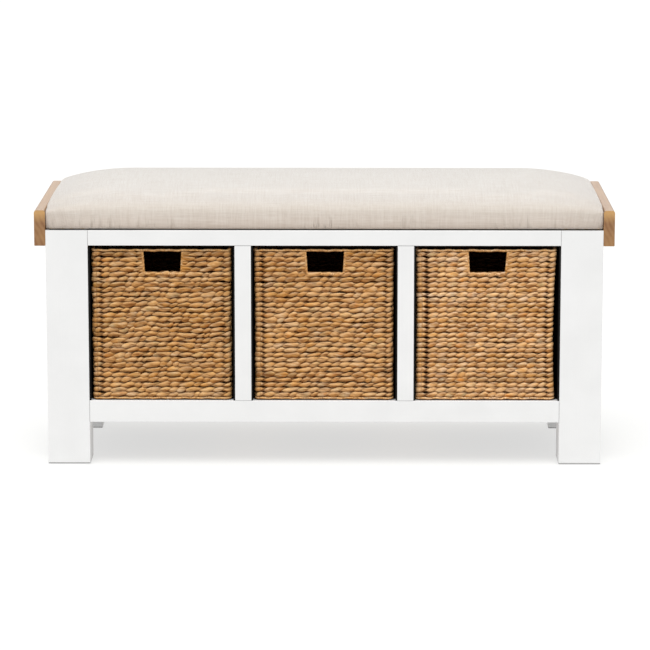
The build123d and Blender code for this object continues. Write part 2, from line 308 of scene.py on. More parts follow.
def linen():
    """Plain-woven linen look: two sets of threads, thick slubs along each, and a soft sheen; painted
    shade between the threads, low down and in the lower creases, painted light towards the crown.
    """
    g = Graph("natural_linen", 0.9, 0.2)
    g.shader.inputs["Sheen Weight"].default_value = 0.7
    g.shader.inputs["Sheen Roughness"].default_value = 0.5
    cloth = g.attribute("cloth")
    warp, weft = (woven_threads(g, g.part(cloth, side), THREAD) for side in (0, 1))
    slub_u = g.noise(g.scaled(cloth, (45, 900, 1)), detail=3, roughness=0.6)
    slub_v = g.noise(g.scaled(cloth, (900, 45, 1)), detail=3, roughness=0.6)
    streak_u = g.noise(g.scaled(cloth, (14, 330, 1)), detail=2)
    streak_v = g.noise(g.scaled(cloth, (330, 14, 1)), detail=2)
    cloud = g.noise(cloth, 9, detail=3)
    slubs = g.math("ADD", slub_u, slub_v)
    streaks = g.math("ADD", streak_u, streak_v)
    shade = g.math("ADD", g.math("MULTIPLY", slubs, 0.5), g.math("MULTIPLY", streaks, 0.5))
    flax = [(0.05, (0.64, 0.565, 0.49)), (0.5, (0.735, 0.67, 0.60)), (0.95, (0.82, 0.775, 0.71))]
    colour = g.ramp(g.between(shade, 0.72, 1.28), flax)
    weave = g.math("MULTIPLY", warp, weft)
    # painted shade in the gaps between the threads
    colour = g.tint(colour, (0.50, 0.43, 0.355, 1), g.remap(weave, 0.26, -0.04))
    colour = g.tint(colour, (0.76, 0.70, 0.63, 1), g.remap(cloud, -0.25, 0.45))
    place = g.place()
    height = g.part(place, 2)
    climb = g.between(height, *PAD_SHADE_HEIGHTS)
    # painted shade: darker and warmer towards the lower edge; painted light: whiter towards the
    # crown
    painted_light_by_height = [
        (0.02, (0.76, 0.70, 0.665)),
        (0.22, (0.925, 0.89, 0.875)),
        (0.5, (0.93, 0.925, 0.92)),
        (0.75, (0.94, 0.965, 1.0)),
        (1.0, (1.0, 1.04, 1.08)),
    ]
    colour = g.tint(colour, g.ramp(climb, painted_light_by_height), 1.0, "MULTIPLY")
    hem = g.between(height, *HEM_HEIGHTS)
    folds = g.noise(g.scaled(place, (170, 170, 16)), detail=2, roughness=0.6)
    patches = g.noise(g.scaled(place, (9, 9, 9)), detail=1)
    crease = g.between(folds, 0.52, 0.66)
    gathered = g.between(patches, 0.42, 0.62)
    crease = g.math("MULTIPLY", g.math("MULTIPLY", crease, hem), gathered)
    # painted shade in the creases along the lower edge
    colour = g.tint(colour, (0.36, 0.285, 0.22, 1), g.math("MULTIPLY", crease, 0.5))
    threads = g.math("ADD", weave, g.math("MULTIPLY", slubs, 0.9))
    normal = g.bump(crease, -0.0015, normal=g.bump(threads, 0.00022))
    return g.finish(colour, g.remap(shade, 1.0, 0.78), normal)


def dust_cloth():
    """Black spun-bonded cloth under the pad, with its dotted bonding."""
    g = Graph("spunbond_dust_cloth", 0.9, 0.2)
    place = g.place()
    inputs = {"Vector": place, "Scale": 900.0, "Randomness": 0.15}
    dots = g.add("ShaderNodeTexVoronoi", inputs).outputs["Distance"]
    fibres = g.noise(place, 2200, detail=2)
    colour = g.ramp(dots, [(0.2, (0.03, 0.03, 0.03)), (0.5, (0.012, 0.012, 0.012))])
    return g.finish(colour, g.remap(fibres, 0.75, 0.95), g.bump(dots, 0.0001))


def hyacinth(name, tone):
    """Dried water hyacinth: each strand has its own tan, with dark and pale fibres along it; painted
    shade on the strands' undersides and in crevices, painted light on their tops.
    """
    g = Graph(name, 0.6, 0.06)
    fibre = g.attribute("fibre")
    tint = g.attribute("tint", "Fac")
    relief = g.attribute("relief", "Fac")
    streaks = g.noise(g.scaled(fibre, (16, 900, 900)), detail=4, roughness=0.7)
    creases = g.noise(g.scaled(fibre, (38, 330, 330)), detail=3, roughness=0.62)
    blotch = g.noise(g.scaled(fibre, (28, 30, 30)), detail=3)
    spread = g.between(streaks, 0.3, 0.7)
    patches = g.between(blotch, 0.3, 0.7)
    region = g.noise(g.scaled(g.place(), (10, 10, 38)), detail=2)
    batch = g.between(region, 0.32, 0.68)
    position = g.math("MULTIPLY", tint, 0.50)
    for part, share in ((spread, 0.24), (patches, 0.11), (batch, 0.15)):
        position = g.math("ADD", position, g.math("MULTIPLY", part, share))
    stops = [
        (0.12, srgb(128, 86, 46)),
        (0.28, srgb(168, 120, 68)),
        (0.42, srgb(198, 147, 91)),
        (0.56, srgb(210, 164, 111)),
        (0.72, srgb(217, 177, 130)),
        (0.9, srgb(238, 210, 174)),
    ]
    colour = g.ramp(position, stops)
    aged = g.between(position, 0.38, 0.22)
    colour = g.stain(colour, (138, 120, 90), aged, 0.5)
    grey = g.between(blotch, 0.55, 0.68)
    colour = g.stain(colour, (158, 142, 106), grey, 0.7)
    ripe = g.between(blotch, 0.42, 0.30)
    colour = g.stain(colour, (202, 130, 56), ripe, 0.75)
    golden = g.between(region, 0.46, 0.36)
    colour = g.stain(colour, (200, 146, 76), golden, 0.55)
    pale = g.between(creases, 0.46, 0.33)
    colour = g.stain(colour, (240, 212, 172), pale, 0.6)
    dark = g.between(creases, 0.51, 0.64)
    colour = g.stain(colour, (116, 66, 24), dark, 0.72)
    upward = g.part(g.facing(), 2)
    # painted shade: the strands' undersides darker
    under = g.between(upward, 0.1, -0.8)
    colour = g.stain(colour, (100, 50, 6), under, 0.7)
    # painted light: the strands' top sides paler
    painted_top_light = g.between(upward, 0.1, 0.75)
    colour = g.stain(colour, (244, 216, 174), painted_top_light, 0.42)
    # painted shade in the crevices, where a strand faces in or dives behind another
    painted_crevice_shade = g.between(relief, 0.56, 0.08)
    colour = g.stain(colour, (84, 38, 0), painted_crevice_shade, 0.87)
    lean = g.noise(g.scaled(fibre, (24, 45, 45)), detail=2)
    warm = g.between(lean, 0.5, 0.3)
    colour = g.tint(colour, (1.07, 0.985, 0.77, 1), warm, "MULTIPLY")
    cool = g.between(lean, 0.5, 0.7)
    colour = g.tint(colour, (0.93, 1.0, 1.22, 1), cool, "MULTIPLY")
    colour = g.tint(colour, (*tone, 1), 1.0, "MULTIPLY")
    height = g.math("ADD", g.math("MULTIPLY", streaks, 0.6), g.math("MULTIPLY", creases, -0.9))
    return g.finish(colour, g.remap(streaks, 0.42, 0.7), g.bump(height, 0.0014))


# ---------------------------------------------------------------- meshes


def new_piece(name, points, faces, material, attributes=None):
    """A smooth-shaded object from arrays of points and four-sided faces."""
    mesh = bpy.data.meshes.new(name)
    mesh.vertices.add(len(points))
    mesh.vertices.foreach_set("co", np.ascontiguousarray(points, np.float32).ravel())
    mesh.loops.add(faces.size)
    mesh.loops.foreach_set("vertex_index", np.ascontiguousarray(faces, np.int32).ravel())
    mesh.polygons.add(len(faces))
    mesh.polygons.foreach_set("loop_start", np.arange(0, faces.size, 4, dtype=np.int32))
    mesh.update(calc_edges=True)
    mesh.validate()
    for key, values in (attributes or {}).items():
        kind = "FLOAT_VECTOR" if values.ndim == 2 else "FLOAT"
        layer = mesh.attributes.new(key, kind, "POINT")
        field = "vector" if values.ndim == 2 else "value"
        layer.data.foreach_set(field, np.ascontiguousarray(values, np.float32).ravel())
    mesh.shade_smooth()
    piece = bpy.data.objects.new(name, mesh)
    scene.collection.objects.link(piece)
    mesh.materials.append(material)
    return piece


# Three quads close an eight-sided end
CAP = np.array([(0, 1, 2, 3), (0, 3, 4, 7), (7, 4, 5, 6)])


class Strands:
    """Gathers eight-sided tubes, with each point's fibre direction and tint for the material."""

    SIDES = 8

    def __init__(self):
        self.points, self.faces, self.fibre, self.tint, self.relief = [], [], [], [], []
        self.count = 0

    def add(
        self, middle, out, up, half_out, half_up, along, tint, closed=False, wrap=None, proud=1.0
    ):
        """out and up are each ring's unit directions, half_out and half_up its half sizes;
        proud is 1 where a strand lies outermost and 0 where it dives behind another; with the facing
        it makes the relief attribute, which the material turns into painted shade."""
        rings, sides = len(middle), self.SIDES
        angle = np.arange(sides) * TAU / sides
        across = np.cos(angle)[None, :] * np.broadcast_to(half_out, rings)[:, None]
        above = np.sin(angle)[None, :] * np.broadcast_to(half_up, rings)[:, None]
        if wrap is not None:
            turns = along[:, None] / wrap + angle[None, :] / TAU
            swell = 1 + 0.24 * (np.sqrt(np.abs(np.sin(np.pi * turns))) - 0.75)
            across, above = across * swell, above * swell
        ring = middle[:, None, :] + out[:, None, :] * across[..., None]
        ring = ring + up[:, None, :] * above[..., None]
        index = np.arange(rings * sides).reshape(rings, sides) + self.count
        here, there = (index, np.roll(index, -1, 0)) if closed else (index[:-1], index[1:])
        quads = [here, there, np.roll(there, -1, 1), np.roll(here, -1, 1)]
        self.faces.append(np.stack(quads, -1).reshape(-1, 4))
        if not closed:
            self.faces += [index[0][CAP], index[-1][CAP][:, ::-1]]
        self.points.append(ring.reshape(-1, 3))
        self.count += rings * sides
        shape = (rings, sides)
        if wrap is None:
            twist = angle[None, :] + along[:, None] * 55
            radius = 0.003
            fibre = [np.broadcast_to(along[:, None], shape), radius * np.cos(twist)]
            fibre.append(radius * np.sin(twist))
            shades = np.broadcast_to(np.broadcast_to(tint, rings)[:, None], shape)
        else:
            fibre = [np.broadcast_to(angle[None, :] * 0.004, shape), turns * 0.006]
            fibre.append(np.broadcast_to(along[:, None], shape))
            shades = tint[np.floor(turns).astype(int) % len(tint)]
        facing = 0.5 + 0.5 * np.cos(angle)[None, :]
        relief = facing * np.broadcast_to(proud, rings)[:, None]
        self.relief.append(relief.reshape(-1))
        self.fibre.append(np.stack(fibre, -1).reshape(-1, 3))
        self.tint.append(shades.reshape(-1))

    def build(self, name, material, shape):
        """The joined mesh; shape moves the points, as the basket's own sag and lean."""
        points = shape(np.concatenate(self.points))
        attributes = {
            key: np.concatenate(getattr(self, key)) for key in ("fibre", "tint", "relief")
        }
        return new_piece(name, points, np.concatenate(self.faces), material, attributes)


# ---------------------------------------------------------------- baskets

# Sizes of the weave, in metres
ROW = 9.65 * MM
WALL = 9 * MM
CORNER = 7 * MM  # radius of the wall's middle line
RIM_HEIGHT = 5.2 * MM
STRAND_SHIFT = 2.3 * MM  # a strand's swing in and out around the stakes
STRAND_RISE = 1.5 * MM  # its rise from one side of the row to the other
CORNER_REACH = 4 * MM  # from a corner's arc to where the strands cross
FRONT_LEFT_REACH = {"left": 8 * MM, "middle": 6 * MM, "right": 10 * MM}
BAND_HALF = 2.9 * MM  # half width of the binding beside the handle hole
HOLE_FLARE = 2.6 * MM  # how much wider the hole is at its top, on each side
SMOOTH_REACH = 15 * MM  # how far beside the hole the strands lie flat
STAKE = 1.9 * MM
WRAP = 7.5 * MM  # width of a binding strand
WRAP_STEP = 1.9 * MM  # from one ring of a bound rod to the next
BAND_SIDE, BAND_SILL = 9.5 * MM, 6 * MM  # the binding node's width beside and below the hole
SWAY_ACROSS, SWAY_UP = 38, (14, 31)  # the rows' wander: waves in radians per metre
PALE = 0.6  # tint of the bindings

# floats: strands' crossings across the front; uneven: how far crossings stray, in floats;
# left, right: how far each side comes in from the box at the top, middle and bottom, in mm;
# sway: how far the rows wander up and down between the edges; pinch: how tightly the strands
# are drawn at the corners' crossings
BASKETS = {
    "left": {
        "floats": 11, "uneven": 0.32, "seed": 11, "tone": (0.892, 0.824, 0.72),
        "left": (0, 0.4, 0.8), "right": (0.3, 0.8, 0.6), "sway": 1.3 * MM, "pinch": 0.3,
    },
    "middle": {
        "floats": 11, "uneven": 0.24, "seed": 23, "tone": (0.928, 0.85, 0.745),
        "left": (0, 1.8, 1.2), "right": (0.2, 1.2, 0.3), "sway": 0.9 * MM, "pinch": 0.36,
    },
    "right": {
        "floats": 12, "uneven": 0.12, "seed": 37, "tone": (1.073, 1.037, 1.017),
        "left": (-1.2, 1.0, -1.0), "right": (-0.8, 4.4, 0.8), "sway": 0.5 * MM, "pinch": 0.5,
    },
}


def rounded_loop(half, front, back, radius, distance):
    """Points and outward directions along a rounded rectangle, anticlockwise from front left."""
    points, normals = np.zeros((len(distance), 2)), np.zeros((len(distance), 2))
    corners = [(half, front), (half, back), (-half, back), (-half, front)]
    straights = [2 * (half - radius), back - front - 2 * radius] * 2
    start = 0.0
    for side, (corner, straight) in enumerate(zip(corners, straights)):
        heading = side * math.pi / 2
        along = np.array([math.cos(heading), math.sin(heading)])
        outward = np.array([along[1], -along[0]])
        centre = np.array(corner) - (along + outward) * radius
        travel = distance - start
        on_side = (travel >= -1e-9) & (travel <= straight)
        points[on_side] = centre + outward * radius + along * (travel[on_side, None] - straight)
        normals[on_side] = outward
        start += straight
        turn = (distance - start) / radius
        on_arc = (turn > 0) & (turn <= math.pi / 2 + 1e-9)
        angle = heading - math.pi / 2 + turn[on_arc]
        normals[on_arc] = np.stack([np.cos(angle), np.sin(angle)], -1)
        points[on_arc] = centre + normals[on_arc] * radius
        start += radius * math.pi / 2
    return points, normals


def loop_samples(half, front, back, radius, floats_across, floats_deep, first_reach):
    """Distances around the wall and the float count at each: whole numbers are crossings."""
    straights = [2 * (half - radius), back - front - 2 * radius] * 2
    crossings, start = [], 0.0
    reaches = (first_reach, CORNER_REACH, CORNER_REACH, CORNER_REACH)
    for straight, floats, reach in zip(straights, (floats_across, floats_deep) * 2, reaches):
        ends = (start + reach, start + straight - CORNER_REACH)
        crossings += list(np.linspace(*ends, floats + 1))
        start += straight + radius * math.pi / 2
    length = start
    crossings.append(length + crossings[0])
    distance, phase = [], []
    for count, (low, high) in enumerate(zip(crossings, crossings[1:])):
        at_corner = (count + 1) % (floats_across + floats_deep + 2) in (0, floats_across + 1)
        steps = 12 if at_corner else 6
        share = np.arange(steps) / steps
        distance.append(low + (high - low) * share)
        phase.append(count + share)
    distance, phase = np.concatenate(distance), np.concatenate(phase)
    order = np.argsort(distance % length, kind="stable")
    return (distance % length)[order], phase[order], len(crossings) - 1, length


def strand_tints(rng, floats, base):
    """One tint per float: spliced lengths of a few floats, with a little change between them."""
    lengths = np.repeat(rng.random(floats), rng.integers(2, 8, floats))[:floats]
    return np.clip(base + 0.42 * (lengths - 0.5) + rng.normal(0, 0.07, floats), 0.0, 1.0)


def twined_pair(
    strands, rng, path, along, phase, floats, uneven, closed=False, flat=0.0, tight=()
):
    """Two strands that change places, in front of the stakes and behind them, along one row.
    Where flat reaches 1 they lie one above the other instead, as beside the handle hole.
    tight is crossings and how tightly each is drawn; they keep their place from row to row."""
    middle, out, up = path
    knots = np.arange(-1, floats + 2)
    stray = rng.normal(0, uneven, len(knots))
    size = np.exp(rng.normal(0, 0.09 + 0.25 * uneven, len(knots)))
    wander = rng.normal(0, (0.25 + uneven) * MM, len(knots))
    if closed:
        for values in (stray, size, wander):
            values[-2:], values[0] = values[1:3], values[-3]
    calm = np.ones(len(knots))
    pinch = np.ones(len(phase))
    for crossing, amount in tight:
        calm *= 1 - 0.8 * np.exp(-(((knots - crossing) / 0.8) ** 2))
        pinch *= 1 - amount * np.exp(-(((phase - crossing) / 0.2) ** 2))
    moved = phase + np.interp(phase, knots, stray * calm)
    round_ = 1 - flat
    row_tint = rng.normal(0.5, 0.17)
    for turn in (0, 1):
        angle = math.pi * (moved + turn)
        face = np.abs(np.sin(angle)) * round_ + 0.45 * flat
        grown = np.interp(phase, knots, size) * round_ + flat
        half_up = (2.4 + 2.55 * face**0.8) * MM * grown * pinch
        half_out = (2.0 + 0.5 * face) * MM
        rise = -STRAND_RISE * np.cos(angle) * round_ + (2 * turn - 1) * 2.3 * MM * flat
        rise = rise + np.interp(phase, knots, wander) * round_
        swing = STRAND_SHIFT * (np.sin(angle) * round_ + 0.75 * flat)
        place = middle + out * swing[:, None] + up * rise[:, None]
        tints = strand_tints(rng, floats + 2, row_tint)
        tint = np.interp(moved, np.arange(floats + 2) + 0.5, tints)
        start = rng.uniform(0, 40)
        proud = ((0.5 + 0.5 * np.sin(angle)) * round_ + flat) * pinch
        strands.add(place, out, up, half_out, half_up, along + start, tint, closed, proud=proud)


def wrapped_rod(strands, rng, path, half_out, half_up, along, closed=True):
    """A rod bound with flat strands, side by side."""
    tint = np.clip(rng.normal(PALE, 0.16, 512), 0.1, 1.0)
    strands.add(*path, half_out, half_up, along, tint, closed, wrap=WRAP)


def level_path(points, normals, height):
    """A path at one height, with its outward and upward directions."""
    count = len(points)
    middle = np.column_stack([points, np.full(count, height)])
    out = np.column_stack([normals, np.zeros(count)])
    return middle, out, np.tile((0.0, 0.0, 1.0), (count, 1))


def evenly(points, spacing):
    """Points at one spacing along a line of points, and their distances."""
    steps = np.linalg.norm(np.diff(points, axis=0), axis=1)
    reached = np.concatenate([[0], np.cumsum(steps)])
    along = np.linspace(0, reached[-1], int(reached[-1] / spacing) + 1)
    return np.column_stack([np.interp(along, reached, axis) for axis in points.T]), along


def hole_band(strands, rng, hole, bottom, top, front):
    """The bound edge of the handle hole: down its left side, along its sill and up its right."""
    radius = 5 * MM
    left, right = hole[0] - BAND_HALF, hole[1] + BAND_HALF
    low = bottom - BAND_HALF
    turn = np.linspace(0, math.pi / 2, 7)
    curve_x, curve_z = radius * (1 - np.cos(turn)), radius * (1 - np.sin(turn))
    x = np.concatenate([[left], left + curve_x, (right - curve_x)[::-1], [right]])
    z = np.concatenate([[top], low + curve_z, (low + curve_z)[::-1], [top]])
    line, along = evenly(np.column_stack([x, z]), WRAP_STEP)
    share = np.clip((line[:, 1] - low) / (top - low), 0, 1)
    line[:, 0] += np.sign(line[:, 0] - (left + right) / 2) * HOLE_FLARE * (share - 0.5)
    heading = np.gradient(line, axis=0)
    heading /= np.linalg.norm(heading, axis=1, keepdims=True)
    count = len(line)
    middle = np.column_stack([line[:, 0], np.full(count, front), line[:, 1]])
    out = np.tile((0.0, -1.0, 0.0), (count, 1))
    up = np.column_stack([-heading[:, 1], np.zeros(count), heading[:, 0]])
    wrapped_rod(strands, rng, (middle, out, up), 4.2 * MM, BAND_HALF, along, closed=False)


def basket_stakes(strands, points, phase, hole, front, low, hole_bottom, high):
    """The upright stakes that the rows are twined around."""
    for place, spot in zip(phase, points):
        if abs(place % 1 - 0.5) > 0.01:
            continue
        at_hole = hole[0] - 2 * BAND_HALF < spot[0] < hole[1] + 2 * BAND_HALF
        top = hole_bottom - BAND_HALF if at_hole and spot[1] < front + 1e-6 else high
        levels = np.linspace(low, top, 12)
        middle = np.column_stack([np.tile(spot, (12, 1)), levels])
        out, up = np.tile((0, 1.0, 0), (12, 1)), np.tile((1.0, 0, 0), (12, 1))
        strands.add(middle, out, up, STAKE, STAKE, levels, 0.1, proud=0.3)


def basket_floor(strands, rng, half, front, back, height, spec):
    """The woven bottom, in rows from side to side."""
    floats = spec["floats"]
    inner = half - WALL
    deep = back - front - WALL
    rows = round(deep / ROW)
    share = np.linspace(0, floats, floats * 5 + 1)
    x = -inner + 2 * inner * share / floats
    out, up = np.tile((0, 0, 1.0), (len(x), 1)), np.tile((0, 1.0, 0), (len(x), 1))
    for number in range(rows):
        y = front + WALL / 2 + deep / rows * (number + 0.5)
        middle = np.column_stack([x, np.full(len(x), y), np.full(len(x), height)])
        twined_pair(strands, rng, (middle, out, up), x, share, floats, spec["uneven"] / 2)


def build_basket(name, spec):
    rng = np.random.default_rng(spec["seed"])
    weave_material = hyacinth(f"hyacinth_weave_{name}", spec["tone"])
    wrap_material = hyacinth(f"hyacinth_wrap_{name}", np.multiply(spec["tone"], 1.08))
    low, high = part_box(f"{name}_basket_weave")
    rim_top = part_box(f"{name}_basket_rim")[1].z
    band_low, band_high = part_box(f"{name}_basket_handle_binding")
    centre_x, half = (low.x + high.x) / 2, (high.x - low.x) / 2
    inset = WALL / 2
    front, back = low.y + inset, high.y - inset
    sides = (half - inset, front, back, CORNER)
    deep = round((back - front) / (2 * (half - inset)) * spec["floats"])
    reach = FRONT_LEFT_REACH[name]
    distance, phase, floats, length = loop_samples(*sides, spec["floats"], deep, reach)
    hole = (band_low.x - centre_x + BAND_SIDE, band_high.x - centre_x - BAND_SIDE)
    row_ends = (hole[0] - BAND_HALF, hole[1] + BAND_HALF)
    stops = [end + half - inset - CORNER for end in row_ends]
    places = np.searchsorted(distance, stops)
    phase = np.insert(phase, places, np.interp(stops, distance, phase))
    distance = np.insert(distance, places, stops)
    points, normals = rounded_loop(*sides, distance)
    hole_bottom = band_low.z + BAND_SILL
    first_row = low.z + RIM_HEIGHT
    count = round((rim_top - RIM_HEIGHT - first_row) / ROW)
    pitch = (rim_top - RIM_HEIGHT - first_row) / count
    heights = first_row + pitch * (np.arange(count) + 0.5)
    insets = {side: np.array(spec[side]) * MM for side in ("left", "right")}

    def shape(at):
        """Moves points from the basket's own middle to its place, with its sides' soft curves."""
        down = np.clip((rim_top - at[:, 2]) / (rim_top - low.z), 0, 1)
        across = np.clip(at[:, 0] / half, -1, 1)
        weights = (2 * (down - 0.5) * (down - 1), 4 * down * (1 - down), 2 * down * (down - 0.5))
        pull = {side: sum(w * v for w, v in zip(weights, insets[side])) for side in insets}
        moved = at.copy()
        pulled = pull["left"] * (1 - across) / 2 - pull["right"] * (1 + across) / 2
        moved[:, 0] += centre_x + pulled
        below_hole = np.clip((hole_bottom - at[:, 2]) / (30 * MM), 0, 1)
        between = np.clip(4 * down * (1 - down), 0, 1) * below_hole
        turn = at[:, 0] * SWAY_ACROSS + spec["seed"]
        slow, quick = (at[:, 2] * waves for waves in SWAY_UP)
        wave = np.sin(turn + slow) + 0.6 * np.sin(2.3 * turn - quick)
        moved[:, 2] += spec["sway"] * between * wave
        return moved

    from_hole = np.maximum(hole[0] - points[:, 0], points[:, 0] - hole[1]) / SMOOTH_REACH
    beside_hole = np.clip(1.35 - from_hole, 0, 1) * (points[:, 1] < front + 1e-6)
    at_hole = (points[:, 0] > row_ends[0] + 1e-6) & (points[:, 0] < row_ends[1] - 1e-6)
    cut = at_hole & (points[:, 1] < front + 1e-6)
    gap_end = int(np.flatnonzero(cut)[-1]) + 1
    around = np.roll(np.arange(len(points)), -gap_end)[: int((~cut).sum())]
    tight = ((0, spec["pinch"]), (floats, spec["pinch"]), (spec["floats"], spec["pinch"] / 2))
    made = []
    for part, rows in (("lower", heights[: count // 2]), ("upper", heights[count // 2 :])):
        strands = Strands()
        for height in rows:
            closed = not height > hole_bottom
            order = np.arange(len(points)) if closed else around
            path = level_path(points[order], normals[order], height)
            spread = (distance[order], phase[order], floats, spec["uneven"], closed)
            flat = 0.0 if closed else beside_hole[order]
            twined_pair(strands, rng, path, *spread, flat, tight)
        made.append(strands.build(f"{name}_basket_{part}_rows", weave_material, shape))

    base = Strands()
    levels = (low.z + RIM_HEIGHT, hole_bottom, rim_top - RIM_HEIGHT)
    basket_stakes(base, points, phase, hole, front, *levels)
    basket_floor(base, rng, half, front, back, low.z + inset, spec)
    made.append(base.build(f"{name}_basket_base_and_stakes", weave_material, shape))

    edges = Strands()
    ring = np.arange(0, length, WRAP_STEP)
    ring_points, ring_normals = rounded_loop(*sides, ring)
    rim_half = RIM_HEIGHT / 2
    for height in (low.z + rim_half + 0.7 * MM, rim_top - rim_half - 0.2 * MM):
        turns = np.round(length / (45 * MM)) * TAU * ring / length
        waves = 0.35 * MM * (np.sin(turns + rng.uniform(0, TAU)) + np.sin(2.0 * turns))
        path = level_path(ring_points, ring_normals, height + waves)
        wrapped_rod(edges, rng, path, 4.4 * MM, rim_half - 0.3 * MM, ring)
    made.append(edges.build(f"{name}_basket_wrapped_edges", wrap_material, shape))

    handle = Strands()
    hole_band(handle, rng, hole, hole_bottom, rim_top - RIM_HEIGHT, front)
    made.append(handle.build(f"{name}_basket_handle_wraps", wrap_material, shape))

    for piece in made:
        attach(piece, f"{name}_basket")
    for piece in made[:3]:
        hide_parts(f"{name}_basket_weave")
    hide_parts(f"{name}_basket_rim")
    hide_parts(f"{name}_basket_handle_binding")


# ---------------------------------------------------------------- seat pad

PAD_CORNER = 6 * MM  # rounding of the pad's upright corners
END_PRESS = 5 * MM  # extra length at each end, which the end boards press flat
OVERHANG = 9 * MM  # how far the pad's ends lean out over the end boards
PAD_EDGE = 2.5 * MM  # rounding of its lower edge
SHOULDER = 35 * MM  # height of its upright sides
END_ROUND, END_POWER = 148 * MM, 1.8  # the dome's fall towards each end: reach and roundness
DEPTH_POWER = 2.0  # its roundness from front to back
START_INSET, QUICK_INSET = 4.3 * MM, 1.5 * MM  # below the crown, with and without simulation
VOXEL = 6.8 * MM
CLOTH_PRESSURE, CLOTH_FRAMES = 4.0, 20
SWELL_CAP, SINK_CAP = 3.5 * MM, 0.8 * MM  # how far the simulation may move the cover


def pad_surface(low, high, inset):
    """The pad's cut shape: full sides up to the shoulder, then a dome in both directions."""
    shoulder = low.z + SHOULDER
    crown = high.z - inset
    half_x, half_y = high.x + END_PRESS, high.y - inset / 4
    mesh = bmesh.new()
    bmesh.ops.create_cube(mesh, size=2.0)
    bmesh.ops.subdivide_edges(mesh, edges=mesh.edges[:], cuts=99, use_grid_fill=True)
    for vert in mesh.verts:
        u, v, w = vert.co
        x, y = u * half_x, v * half_y
        inner_x = max(-half_x + PAD_CORNER, min(half_x - PAD_CORNER, x))
        inner_y = max(-half_y + PAD_CORNER, min(half_y - PAD_CORNER, y))
        away = Vector((x - inner_x, y - inner_y))
        if away.length > 0:
            away *= max(abs(away.x), abs(away.y)) / away.length
        x, y = inner_x + away.x, inner_y + away.y
        end_gap = max(0.0, min(1.0, (half_x - abs(x)) / END_ROUND))
        depth_gap = max(0.0, min(1.0, (half_y - abs(y)) / half_y))
        rise = (1 - (1 - end_gap) ** END_POWER) ** (1 / END_POWER)
        rise *= (1 - (1 - depth_gap) ** DEPTH_POWER) ** (1 / DEPTH_POWER)
        share = (w + 1) / 2
        side_z = low.z + (shoulder - low.z) * share
        z = side_z + (crown - shoulder) * rise * (share if abs(w) > 0.999 else 0)
        under = max(0.0, 1 - (side_z - low.z) / PAD_EDGE)
        pull = PAD_EDGE * (1 - math.sqrt(1 - under**2)) if under < 1 else PAD_EDGE
        tuck = 2 * MM * (1 - share) ** 2
        lift = max(0.0, min(1.0, (z - shoulder) / (7 * MM)))
        near_end = math.exp(-(half_x - abs(x)) / (45 * MM)) * (1 - abs(v) ** 4)
        spread_x = OVERHANG * lift * near_end - pull - tuck / 4
        vert.co = (x * (1 + spread_x / half_x), y * (1 - (pull + tuck) / half_y), z)
    return mesh


def keep_off_boards(points):
    """Holds the pad's ends between the end boards, with a slight overhang above their tops."""
    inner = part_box("right_end_board")[0].x - 0.5 * MM
    board_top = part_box("right_end_board")[1].z
    over = np.clip((points[:, 2] - board_top - 0.5 * MM) / (5 * MM), 0, 1)
    limit = inner + over * (OVERHANG + 1 * MM)
    points[:, 0] = np.clip(points[:, 0], -limit, limit)
    return points


def apply_modifiers(piece):
    """Replaces the piece's mesh with what its modifiers make of it."""
    graph = bpy.context.evaluated_depsgraph_get()
    mesh = bpy.data.meshes.new_from_object(piece.evaluated_get(graph), depsgraph=graph)
    piece.modifiers.clear()
    piece.data = mesh


def points_of(mesh):
    co = np.empty(len(mesh.vertices) * 3, np.float32)
    mesh.vertices.foreach_get("co", co)
    return co.reshape(-1, 3).astype(float)


def inflate(piece, bottom):
    """Cloth simulation: pressure fills the cover, which is held where it turns under the board."""
    start = points_of(piece.data)
    normals = np.empty(len(start) * 3, np.float32)
    piece.data.vertices.foreach_get("normal", normals)
    normals = normals.reshape(-1, 3)
    pinned = piece.vertex_groups.new(name="stapled")
    held = np.flatnonzero(start[:, 2] < bottom + 4 * MM)
    pinned.add([int(i) for i in held], 1.0, "REPLACE")
    cloth = piece.modifiers.new("cloth", "CLOTH")
    settings = cloth.settings
    settings.use_pressure = True
    settings.uniform_pressure_force = CLOTH_PRESSURE
    settings.vertex_group_mass = "stapled"
    settings.tension_stiffness = settings.compression_stiffness = 18
    settings.shear_stiffness = 8
    settings.bending_stiffness = 0.3
    settings.shrink_min = -0.03
    settings.effector_weights.gravity = 0
    cloth.collision_settings.use_collision = False
    for number in range(1, CLOTH_FRAMES + 1):
        scene.frame_set(number)
    apply_modifiers(piece)
    moved = points_of(piece.data) - start
    outward = np.sum(moved * normals, axis=1)
    cap = np.where(outward > 0, SWELL_CAP, SINK_CAP)
    outward = cap * np.tanh(outward / cap)
    swollen = start + normals * outward[:, None]
    piece.data.vertices.foreach_set("co", swollen.astype(np.float32).ravel())
    piece.data.update()
    scene.frame_set(1)


def gather_corners(points, low, high):
    """Shallow tucks above the lower edge near each corner, where the cover is drawn under."""
    moved = points.copy()
    for side in (-1, 1):
        for face in (-1, 1):
            for offset, lean in ((0.030, 0.35), (0.047, 0.2), (0.068, 0.1)):
                x = side * (high.x - offset) - side * (points[:, 2] - low.z) * lean
                fade = np.clip(1 - (points[:, 2] - low.z) / (34 * MM), 0, 1)
                groove = np.exp(-(((points[:, 0] - x) / (3.4 * MM)) ** 2)) * fade
                on_face = points[:, 1] * face > high.y - 25 * MM
                moved[:, 1] -= face * 1.3 * MM * groove * on_face
    return moved


def cloth_coordinates(points, high):
    """Distance over the cloth from the pad's middle, across and from front to back."""
    half_x, half_y = high.x, high.y
    drop = np.clip(high.z - points[:, 2], 0, None)
    end_share = np.clip(1 - (half_x - np.abs(points[:, 0])) / END_ROUND, 0, 1) ** 4
    face_share = np.clip(1 - (half_y - np.abs(points[:, 1])) / (60 * MM), 0, 1) ** 2
    u = points[:, 0] + np.sign(points[:, 0]) * drop * end_share
    v = points[:, 1] + np.sign(points[:, 1]) * drop * face_share
    return np.stack([u, v, np.zeros(len(u))], -1)


